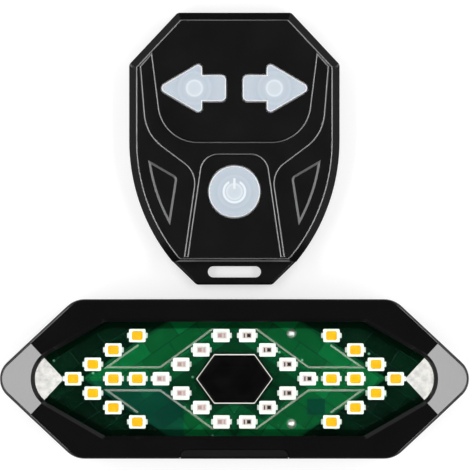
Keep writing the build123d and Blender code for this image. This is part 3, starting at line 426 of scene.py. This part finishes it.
# Painted light and shade: the die and bond pad are pinkish left of the middle and nearly black
# right of it.
die_painted_shading = add_node(
    tree, "ShaderNodeMix",
    {0: (right_side, "Value"), 6: linear("#a98487"), 7: linear("#2c2224")}, data_type="RGBA",
)
bond_painted_shading = add_node(
    tree, "ShaderNodeMix",
    {0: (right_side, "Value"), 6: linear("#b89597"), 7: linear("#4a3c3e")}, data_type="RGBA",
)
pads = dark_spot((-0.1, 0.05), (0.95, 0.62))
die = dark_spot((0.35, 0.02), (0.42, 0.4))
bond = dark_spot((-0.62, 0.0), (0.15, 0.46))
resin_floor = add_node(
    tree, "ShaderNodeMix",
    {0: (pads, "Result"), 6: linear("#efe7e6"), 7: linear("#cdb4b4")}, data_type="RGBA",
)
with_die = add_node(
    tree, "ShaderNodeMix",
    {0: (die, "Result"), 6: (resin_floor, "Result"), 7: (die_painted_shading, "Result")}, data_type="RGBA",
)
with_bond = add_node(
    tree, "ShaderNodeMix",
    {0: (bond, "Result"), 6: (with_die, "Result"), 7: (bond_painted_shading, "Result")}, data_type="RGBA",
)
haze = add_node(
    tree, "ShaderNodeTexNoise", {"Vector": (place, "Object"), "Scale": 1 / (0.5 * MM)}
)
resin_gloss = add_node(
    tree, "ShaderNodeMapRange", {"Value": (haze, "Fac"), "To Min": 0.08, "To Max": 0.2}
)
surface = add_node(
    tree, "ShaderNodeBsdfPrincipled",
    {"Base Color": (with_bond, "Result"), "Roughness": (resin_gloss, "Result"), "IOR": 1.5},
)
add_node(tree, "ShaderNodeOutputMaterial", {"Surface": (surface, "BSDF")})
finishes["led_clear"] = material
print("LED windows done")

# %% [markdown]
# ## The green board
# Solder mask is a green lacquer. Over copper it is a bright green, over bare board it is darker,
# and outside the LED arrows it is painted almost black as shade. The signed distance from each
# LED row tells the fields apart. Slanted blocks, alike on both sides, are the copper areas, and
# the thin gaps between them are the lines where the copper is etched away. Below the middle line
# the left field and one small patch on the right are teal, where there is no copper behind.

# %% Board position in millimetres from the lamp's centre
material, tree = new_material("green_solder_mask")
place = add_node(tree, "ShaderNodeTexCoord")
board_mm = add_node(
    tree, "ShaderNodeMapping",
    {"Vector": (place, "Object"), "Location": (0, -lamp_middle_y / MM, 0),
     "Scale": (1 / MM, 1 / MM, 0)},
)
spot = add_node(tree, "ShaderNodeSeparateXYZ", {0: (board_mm, "Vector")})
across = add_node(tree, "ShaderNodeMath", {0: (spot, "X")}, operation="ABSOLUTE")
up = add_node(tree, "ShaderNodeMath", {0: (spot, "Y")}, operation="ABSOLUTE")
print("board centre y", round(lamp_middle_y / MM, 2), "mm")


# %% Which side of an LED row a point lies on
def row_distance(tip_x, slope):
    """Distance outwards from the slanted row that meets the middle line at tip_x, in mm."""
    along = add_node(
        tree, "ShaderNodeMath", {0: (across, "Value"), 1: -slope, 2: tip_x * slope},
        operation="MULTIPLY_ADD",
    )
    off = add_node(
        tree, "ShaderNodeMath", {0: (up, "Value"), 1: (along, "Value")}, operation="SUBTRACT"
    )
    return add_node(
        tree, "ShaderNodeMath", {0: (off, "Value"), 1: math.cos(math.atan(slope))},
        operation="MULTIPLY",
    )


# %% Outside the arrows and inside the diamond
arrow_tip, arrow_slope = 34.4, 0.672
diamond_tip, diamond_slope = 15.65, 0.714
arrow_side = row_distance(arrow_tip, arrow_slope)
diamond_side = row_distance(diamond_tip, diamond_slope)
# Painted shade: beyond the arrow rows the mask colour turns almost black.
shade_outside_arrow = add_node(
    tree, "ShaderNodeMapRange",
    {"Value": (arrow_side, "Value"), "From Min": -1.5, "From Max": -0.9, "To Min": 0, "To Max": 1},
)
inside_diamond = add_node(
    tree, "ShaderNodeMapRange",
    {"Value": (diamond_side, "Value"), "From Min": 0.9, "From Max": 1.5, "To Min": 1, "To Max": 0},
)
print("LED rows meet the middle line at", arrow_tip, "and", diamond_tip, "mm")

# %% Copper fields, traces and vias under the mask
block_slant, block_offset = math.radians(35), 0.37
block_length, block_height, block_gap = 7.0, 3.6, 0.07
folded_place = add_node(
    tree, "ShaderNodeCombineXYZ", {"X": (across, "Value"), "Y": (spot, "Y")}
)
slanted = add_node(
    tree, "ShaderNodeMapping",
    {"Vector": (folded_place, "Vector"), "Rotation": (0, 0, block_slant)},
)
fields = add_node(
    tree, "ShaderNodeTexBrick",
    {"Vector": (slanted, "Vector"), "Scale": 1.0, "Brick Width": block_length,
     "Row Height": block_height, "Mortar Size": block_gap, "Mortar Smooth": 0.3,
     "Color1": linear("#000000"), "Color2": linear("#ffffff"), "Mortar": linear("#808080")},
    offset=block_offset,
)
field_tone = add_node(tree, "ShaderNodeSeparateColor", {0: (fields, "Color")})
gap_line = add_node(
    tree, "ShaderNodeMapRange", {"Value": (fields, "Fac"), "To Min": 1, "To Max": 0}
)
vias = add_node(
    tree, "ShaderNodeTexVoronoi",
    {"Vector": (board_mm, "Vector"), "Scale": 0.2, "Randomness": 1.0},
)
via_dot = add_node(
    tree, "ShaderNodeMapRange",
    {"Value": (vias, "Distance"), "From Min": 0.04, "From Max": 0.07, "To Min": 1, "To Max": 0},
)
print("copper blocks", block_length, "by", block_height, "mm")

# %% Where the board is teal
left_field_end = (-11.0, -10.6)
patch_middle, patch_half_size = (17.4, -6.0), (1.9, 1.7)
lower_half = add_node(
    tree, "ShaderNodeMapRange",
    {"Value": (spot, "Y"), "From Min": -0.6, "From Max": -0.3, "To Min": 1, "To Max": 0},
)
left_field = add_node(
    tree, "ShaderNodeMapRange",
    {"Value": (spot, "X"), "From Min": left_field_end[0], "From Max": left_field_end[1],
     "To Min": 1, "To Max": 0},
)
patch_width = add_node(
    tree, "ShaderNodeMath", {0: (spot, "X"), 1: patch_middle[0], 2: patch_half_size[0]},
    operation="COMPARE",
)
patch_height = add_node(
    tree, "ShaderNodeMath", {0: (spot, "Y"), 1: patch_middle[1], 2: patch_half_size[1]},
    operation="COMPARE",
)
right_patch = add_node(
    tree, "ShaderNodeMath", {0: (patch_width, "Value"), 1: (patch_height, "Value")},
    operation="MULTIPLY",
)
either_patch = add_node(
    tree, "ShaderNodeMath", {0: (left_field, "Result"), 1: (right_patch, "Value")},
    operation="MAXIMUM",
)
teal_zone = add_node(
    tree, "ShaderNodeMath", {0: (lower_half, "Result"), 1: (either_patch, "Value")},
    operation="MULTIPLY",
)
print("teal left of", left_field_end[1], "mm and around", patch_middle, "mm")

# %% Green, teal and dark fields
drift = add_node(
    tree, "ShaderNodeMath", {0: (field_tone, "Red"), 1: 0.7, 2: 0.15}, operation="MULTIPLY_ADD"
)
bright_field = add_node(
    tree, "ShaderNodeMix",
    {0: (drift, "Value"), 6: linear("#05401f"), 7: linear("#086a36")}, data_type="RGBA",
)
teal_field = add_node(
    tree, "ShaderNodeMix",
    {0: (drift, "Value"), 6: linear("#042e26"), 7: linear("#064c34")}, data_type="RGBA",
)
field_colour = add_node(
    tree, "ShaderNodeMix",
    {0: (teal_zone, "Value"), 6: (bright_field, "Result"), 7: (teal_field, "Result")},
    data_type="RGBA",
)
# Painted shade: a darker copy of the green for the board outside the arrows.
painted_shade_field = add_node(
    tree, "ShaderNodeMix",
    {0: (drift, "Value"), 6: linear("#010f09"), 7: linear("#022413")}, data_type="RGBA",
)
centre_field = add_node(
    tree, "ShaderNodeMix",
    {0: (drift, "Value"), 6: linear("#031e12"), 7: linear("#075a30")}, data_type="RGBA",
)
print("field colours done")

# %% One colour for the whole mask
with_arrow = add_node(
    tree, "ShaderNodeMix",
    {0: (shade_outside_arrow, "Result"), 6: (field_colour, "Result"), 7: (painted_shade_field, "Result")},
    data_type="RGBA",
)
with_diamond = add_node(
    tree, "ShaderNodeMix",
    {0: (inside_diamond, "Result"), 6: (with_arrow, "Result"), 7: (centre_field, "Result")},
    data_type="RGBA",
)
with_gaps = add_node(
    tree, "ShaderNodeMix",
    {0: (gap_line, "Result"), 6: linear("#02221a"), 7: (with_diamond, "Result")},
    data_type="RGBA",
)
with_vias = add_node(
    tree, "ShaderNodeMix",
    {0: (via_dot, "Result"), 6: (with_gaps, "Result"), 7: linear("#6ea487")}, data_type="RGBA",
)
print("mask colour done")

# %% Relief and gloss of the mask
mask_step = add_node(
    tree, "ShaderNodeBump",
    {"Height": (gap_line, "Result"), "Distance": 0.03 * MM, "Strength": 0.6},
)
lacquer_waves = add_node(
    tree, "ShaderNodeTexNoise", {"Vector": (board_mm, "Vector"), "Scale": 0.5, "Detail": 3.0}
)
lacquer = add_node(
    tree, "ShaderNodeMapRange", {"Value": (lacquer_waves, "Fac"), "To Min": 0.08, "To Max": 0.15}
)
surface = add_node(
    tree, "ShaderNodeBsdfPrincipled",
    {"Base Color": (with_vias, "Result"), "Roughness": (lacquer, "Result"), "IOR": 1.5,
     "Specular IOR Level": 0.3, "Normal": (mask_step, "Normal")},
)
add_node(tree, "ShaderNodeOutputMaterial", {"Surface": (surface, "BSDF")})
finishes["board_green"] = material
print("board done")

# %% [markdown]
# ## The clear lens
# Polycarbonate is a glass-like plastic with an IOR near 1.58. Real light bends through it and still
# reaches the board. A path tracer finds such bent light slowly, so light on its way to a lamp
# passes straight through, and everything that is seen is still refracted. A very faint waviness
# from the mould keeps the reflections from looking perfect. The moulded ribs on the underside, the
# rim of the button's hole and the two end facets get a pale matt white mixed in, a painted
# highlight that shows them as pale lines and patches.

# %% Clear plastic
material, tree = new_material("clear_polycarbonate")
place = add_node(tree, "ShaderNodeTexCoord")
flow = add_node(
    tree, "ShaderNodeTexNoise", {"Vector": (place, "Object"), "Scale": 1 / (6 * MM), "Detail": 2.0}
)
waviness = add_node(
    tree, "ShaderNodeBump", {"Height": (flow, "Fac"), "Distance": 0.004 * MM, "Strength": 0.5}
)
polish = add_node(
    tree, "ShaderNodeMapRange", {"Value": (flow, "Fac"), "To Min": 0.0, "To Max": 0.03}
)
clear = add_node(
    tree, "ShaderNodeBsdfPrincipled",
    {"Base Color": linear("#f6fbf8"), "Roughness": (polish, "Result"), "IOR": 1.58,
     "Transmission Weight": 1.0, "Normal": (waviness, "Normal")},
)
print("clear plastic done")

# %% Ribs on the underside
rib_top_depth, rib_middle_depth = 1.8 * MM, 0.2 * MM
rib_half_height, rib_white_share = 0.16 * MM, 0.22
rib_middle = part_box("lens")[1][2] - rib_top_depth - rib_middle_depth
spot = add_node(tree, "ShaderNodeSeparateXYZ", {0: (place, "Object")})
rib_band = add_node(
    tree, "ShaderNodeMath", {0: (spot, "Z"), 1: rib_middle, 2: rib_half_height},
    operation="COMPARE",
)
rib_highlight = add_node(
    tree, "ShaderNodeMath", {0: (rib_band, "Value"), 1: rib_white_share}, operation="MULTIPLY"
)
print("ribs at z", round(rib_middle / MM, 2), "mm")

# %% Rim of the button's hole
hole_half_length, hole_half_height, hole_slant = 7.88 * MM, 5.07 * MM, math.radians(54)
rim_fades, rim_white_share = (0.16 * MM, 0.22 * MM), 0.85
hole_x = add_node(tree, "ShaderNodeMath", {0: (spot, "X")}, operation="ABSOLUTE")
from_middle = add_node(
    tree, "ShaderNodeMath", {0: (spot, "Y"), 1: lamp_middle_y}, operation="SUBTRACT"
)
hole_y = add_node(tree, "ShaderNodeMath", {0: (from_middle, "Value")}, operation="ABSOLUTE")
past_flat = add_node(
    tree, "ShaderNodeMath", {0: (hole_y, "Value"), 1: hole_half_height}, operation="SUBTRACT"
)
past_tip = add_node(
    tree, "ShaderNodeMath", {0: (hole_x, "Value"), 1: hole_half_length}, operation="SUBTRACT"
)
tip_part = add_node(
    tree, "ShaderNodeMath", {0: (past_tip, "Value"), 1: math.sin(hole_slant)},
    operation="MULTIPLY",
)
past_slant = add_node(
    tree, "ShaderNodeMath",
    {0: (hole_y, "Value"), 1: math.cos(hole_slant), 2: (tip_part, "Value")},
    operation="MULTIPLY_ADD",
)
past_hole = add_node(
    tree, "ShaderNodeMath", {0: (past_flat, "Value"), 1: (past_slant, "Value")},
    operation="MAXIMUM",
)
hole_rim = add_node(
    tree, "ShaderNodeMapRange",
    {"Value": (past_hole, "Value"), "From Min": rim_fades[0], "From Max": rim_fades[1],
     "To Min": rim_white_share, "To Max": 0},
)
print("hole rim", round(2 * hole_half_length / MM, 2), "mm long")

# %% End facets
facet_lean, lean_margin, facet_white_shares = math.radians(12), 0.012, (0.3, 0.6)
shape = add_node(tree, "ShaderNodeNewGeometry")
facing = add_node(tree, "ShaderNodeSeparateXYZ", {0: (shape, "True Normal")})
end_facet = add_node(
    tree, "ShaderNodeMath",
    {0: (facing, "Z"), 1: math.cos(facet_lean), 2: lean_margin}, operation="COMPARE",
)
streaks = add_node(
    tree, "ShaderNodeTexNoise",
    {"Vector": (place, "Object"), "Scale": 1 / (1.5 * MM), "Detail": 3.0},
)
streak_share = add_node(
    tree, "ShaderNodeMapRange",
    {"Value": (streaks, "Fac"), "From Min": 0.35, "From Max": 0.65, "To Min": facet_white_shares[0],
     "To Max": facet_white_shares[1]},
)
facet_highlight = add_node(
    tree, "ShaderNodeMath", {0: (end_facet, "Value"), 1: (streak_share, "Result")},
    operation="MULTIPLY",
)
print("end facets lean", round(math.degrees(facet_lean)), "degrees")

# %% Clear lens with its painted highlights
rib_or_rim = add_node(
    tree, "ShaderNodeMath", {0: (rib_highlight, "Value"), 1: (hole_rim, "Result")},
    operation="MAXIMUM",
)
highlight_share = add_node(
    tree, "ShaderNodeMath", {0: (rib_or_rim, "Value"), 1: (facet_highlight, "Value")},
    operation="MAXIMUM",
)
# Painted highlight: a pale matt white mixed in on the ribs, the hole's rim and the end facets.
painted_pale_white = add_node(tree, "ShaderNodeBsdfDiffuse", {"Color": linear("#f4f1ea")})
clear_with_painted_highlights = add_node(
    tree, "ShaderNodeMixShader",
    {0: (highlight_share, "Value"), 1: (clear, "BSDF"), 2: (painted_pale_white, "BSDF")},
)
straight_through = add_node(tree, "ShaderNodeBsdfTransparent", {"Color": linear("#f2f7f4")})
path = add_node(tree, "ShaderNodeLightPath")
either = add_node(
    tree, "ShaderNodeMixShader",
    {0: (path, "Is Shadow Ray"), 1: (clear_with_painted_highlights, "Shader"), 2: (straight_through, "BSDF")},
)
add_node(tree, "ShaderNodeOutputMaterial", {"Surface": (either, "Shader")})
finishes["clear_lens"] = material
print("lens done")

# %% [markdown]
# ## Milky keys
# The keys are translucent silicone, bluish grey on top with a painted near-white highlight on the
# rounded rim, and the stem under each shows through as faint rings. The rim lies lower than the
# flat top and the power mark higher, so height picks both out, and the distance from each stem
# draws the rings.

# %% Distance from the nearest stem
stem_x, stem_y = 8.57 * MM, 13 * MM
power_y = -9.2 * MM
material, tree = new_material("milky_silicone")
place = add_node(tree, "ShaderNodeTexCoord")
spot = add_node(tree, "ShaderNodeSeparateXYZ", {0: (place, "Object")})
side = add_node(tree, "ShaderNodeMath", {0: (spot, "X")}, operation="ABSOLUTE")
folded = add_node(
    tree, "ShaderNodeCombineXYZ", {"X": (side, "Value"), "Y": (spot, "Y")}
)
arrow_stem = add_node(
    tree, "ShaderNodeVectorMath",
    {0: (folded, "Vector"), 1: (stem_x, remote_middle_y + stem_y, 0)}, operation="DISTANCE",
)
power_stem = add_node(
    tree, "ShaderNodeVectorMath",
    {0: (folded, "Vector"), 1: (0, remote_middle_y + power_y, 0)}, operation="DISTANCE",
)
stem = add_node(
    tree, "ShaderNodeMath", {0: (arrow_stem, "Value"), 1: (power_stem, "Value")},
    operation="MINIMUM",
)
print("arrow stems at x", round(stem_x / MM, 2), "mm")

# %% Rings around the stems
ring_reach = 5 * MM
stem_share = add_node(
    tree, "ShaderNodeMapRange", {"Value": (stem, "Value"), "From Min": 0, "From Max": ring_reach}
)
rings = add_node(tree, "ShaderNodeValToRGB", {"Fac": (stem_share, "Result")})
ring_steps = [
    (0.0, "#c3ccd4"), (0.26, "#c6cfd7"), (0.33, "#d6dde3"), (0.4, "#b9c3cd"),
    (0.55, "#b3bec9"), (0.7, "#bac4ce"), (0.74, "#b1bcc7"), (1.0, "#b7c1cb"),
]
rings.color_ramp.elements[0].color = linear(ring_steps[0][1])
rings.color_ramp.elements[-1].color = linear(ring_steps[-1][1])
for position, tone in ring_steps[1:-1]:
    rings.color_ramp.elements.new(position).color = linear(tone)
print("rings reach", round(ring_reach / MM, 2), "mm")

# %% Painted rim highlight and raised mark
key_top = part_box("right_arrow_key")[1][2]
rim_depth, flat_margin, mark_margin = 0.06 * MM, 0.005 * MM, 0.03 * MM
# Painted highlight: the rounded rim just under the flat top is coloured near white, and made
# shinier further down.
rim = add_node(
    tree, "ShaderNodeMapRange",
    {"Value": (spot, "Z"), "From Min": key_top - rim_depth, "From Max": key_top - flat_margin,
     "To Min": 1, "To Max": 0},
)
with_rim_highlight = add_node(
    tree, "ShaderNodeMix",
    {0: (rim, "Result"), 6: (rings, "Color"), 7: linear("#fbfcfd")}, data_type="RGBA",
)
raised_mark = add_node(
    tree, "ShaderNodeMath", {0: (spot, "Z"), 1: key_top + mark_margin},
    operation="GREATER_THAN",
)
key_colour = add_node(
    tree, "ShaderNodeMix",
    {0: (raised_mark, "Value"), 6: (with_rim_highlight, "Result"), 7: linear("#dfe5ea")},
    data_type="RGBA",
)
print("keys' flat top at", round(key_top / MM, 2), "mm")

# %% Milky silicone keys
skin = add_node(
    tree, "ShaderNodeTexNoise", {"Vector": (place, "Object"), "Scale": 1 / (0.25 * MM)}
)
skin_relief = add_node(
    tree, "ShaderNodeBump", {"Height": (skin, "Fac"), "Distance": 0.004 * MM, "Strength": 1.0}
)
skin_gloss = add_node(
    tree, "ShaderNodeMapRange", {"Value": (skin, "Fac"), "To Min": 0.42, "To Max": 0.55}
)
rim_highlight_shine = add_node(
    tree, "ShaderNodeMapRange", {"Value": (rim, "Result"), "To Min": 0.4, "To Max": 3.0}
)
surface = add_node(
    tree, "ShaderNodeBsdfPrincipled",
    {"Base Color": (key_colour, "Result"), "Roughness": (skin_gloss, "Result"), "IOR": 1.41,
     "Specular IOR Level": (rim_highlight_shine, "Result"), "Subsurface Weight": 0.2,
     "Subsurface Scale": 0.5 * MM, "Normal": (skin_relief, "Normal")},
)
add_node(tree, "ShaderNodeOutputMaterial", {"Surface": (surface, "BSDF")})
finishes["key_silicone"] = material
print("keys done")

# %% [markdown]
# ## Put each finish on its pieces
# The record names a material slot for every node, so one loop dresses them all.

# %% Dress the CAD nodes
for piece in frame["record"]["subparts"]:
    node = nodes[piece["node"]]
    for slot in node.material_slots:
        slot.material = finishes[piece["material_slot"]]

# %% [markdown]
# ## Floor and surroundings
# The photograph has a white ground. A diffuse floor keeps the soft shadow, and what it lacks to
# white is added only for rays that look at it. The ceiling is dark in mirror reflections, as over
# a real product table, so that polished black looks black from above. Pale panels stand lower down
# on the left and right, and rounded edges mirror those as thin bright lines.

# %% Floor
floor_size, floor_gap, white_lift = 6, 0.05 * MM, 0.55
bpy.ops.object.select_all(action="DESELECT")
bpy.ops.mesh.primitive_plane_add(size=floor_size, location=(0, 0, cad_box[0][2] - floor_gap))
floor = bpy.context.object
floor.name = "floor"
material, tree = new_material("white_table")
path = add_node(tree, "ShaderNodeLightPath")
seen = add_node(
    tree, "ShaderNodeMath", {0: (path, "Is Camera Ray"), 1: (path, "Is Transmission Ray")},
    operation="MAXIMUM",
)
seen_or_mirrored = add_node(
    tree, "ShaderNodeMath", {0: (seen, "Value"), 1: (path, "Is Glossy Ray")}, operation="MAXIMUM"
)
lift = add_node(
    tree, "ShaderNodeMath", {0: (seen_or_mirrored, "Value"), 1: white_lift},
    operation="MULTIPLY",
)
glow = add_node(
    tree, "ShaderNodeEmission", {"Color": linear("#ffffff"), "Strength": (lift, "Value")}
)
matt = add_node(tree, "ShaderNodeBsdfDiffuse", {"Color": linear("#c8c8c8")})
both = add_node(tree, "ShaderNodeAddShader", {0: (glow, "Emission"), 1: (matt, "BSDF")})
add_node(tree, "ShaderNodeOutputMaterial", {"Surface": (both, "Shader")})
floor.data.materials.append(material)
print("floor", floor_size, "m wide")

# %% Ceiling as mirrors see it
world = bpy.data.worlds.new("room")
bpy.context.scene.world = world
world.use_nodes = True
tree = world.node_tree
tree.nodes.clear()
direction = add_node(tree, "ShaderNodeTexCoord")
height = add_node(tree, "ShaderNodeSeparateXYZ", {0: (direction, "Generated")})
ceiling = add_node(tree, "ShaderNodeValToRGB", {"Fac": (height, "Z")})
ceiling_steps = [(0.0, 0.1), (0.59, 0.08), (0.64, 1.0), (0.71, 1.0), (0.77, 0.02), (1.0, 0.015)]
ceiling.color_ramp.elements[0].color = (ceiling_steps[0][1],) * 3 + (1,)
ceiling.color_ramp.elements[-1].color = (ceiling_steps[-1][1],) * 3 + (1,)
for position, level in ceiling_steps[1:-1]:
    ceiling.color_ramp.elements.new(position).color = (level,) * 3 + (1,)
print("ceiling with", len(ceiling_steps), "steps")

# %% Room with its side panels
between_panels, panel_level, room_level = 0.15, 5.0, 0.64
sideways = add_node(tree, "ShaderNodeMath", {0: (height, "X")}, operation="ABSOLUTE")
side_panels = add_node(
    tree, "ShaderNodeMapRange",
    {"Value": (sideways, "Value"), "From Min": 0.25, "From Max": 0.6,
     "To Min": between_panels, "To Max": panel_level},
)
mirrored_room = add_node(
    tree, "ShaderNodeMath", {0: (ceiling, "Color"), 1: (side_panels, "Result")},
    operation="MULTIPLY",
)
path = add_node(tree, "ShaderNodeLightPath")
room_light = add_node(
    tree, "ShaderNodeMix",
    {0: (path, "Is Glossy Ray"), 2: room_level, 3: (mirrored_room, "Value")},
    data_type="FLOAT",
)
backdrop = add_node(
    tree, "ShaderNodeMix",
    {0: (path, "Is Camera Ray"), 2: (room_light, "Result"), 3: 1.0}, data_type="FLOAT",
)
sky = add_node(
    tree, "ShaderNodeBackground", {"Color": linear("#ffffff"), "Strength": (backdrop, "Result")}
)
add_node(tree, "ShaderNodeOutputWorld", {"Surface": (sky, "Background")})
print("room level", room_level)

# %% [markdown]
# ## Softboxes
# The lamp's two tips slope by 12 degrees, so from above they mirror whatever stands 24 degrees off
# the vertical. The photograph shows them as flat light grey: there was a softbox on each side.
# Two long narrow softboxes do the same here and give the keys and LEDs most of their light.

# %% Softboxes
reach = 0.6
off_vertical = math.radians(24)
facet_side = math.radians(43)
facet_x = 43 * MM
softbox_size, softbox_watts = (0.075, 0.44), 1.12
offset = facet_x + reach * math.sin(off_vertical) * math.sin(facet_side)
for side in (-1, 1):
    softbox_data = bpy.data.lights.new(f"softbox_{side}", "AREA")
    softbox_data.shape = "RECTANGLE"
    softbox_data.size, softbox_data.size_y = softbox_size
    softbox_data.energy = softbox_watts
    softbox = bpy.data.objects.new(f"softbox_{side}", softbox_data)
    softbox.location = (side * offset, lamp_middle_y, reach * math.cos(off_vertical))
    softbox.rotation_euler = (0, side * math.atan(offset / softbox.location[2]), 0)
    bpy.context.collection.objects.link(softbox)
print("softboxes at x", round(offset, 3), "m")
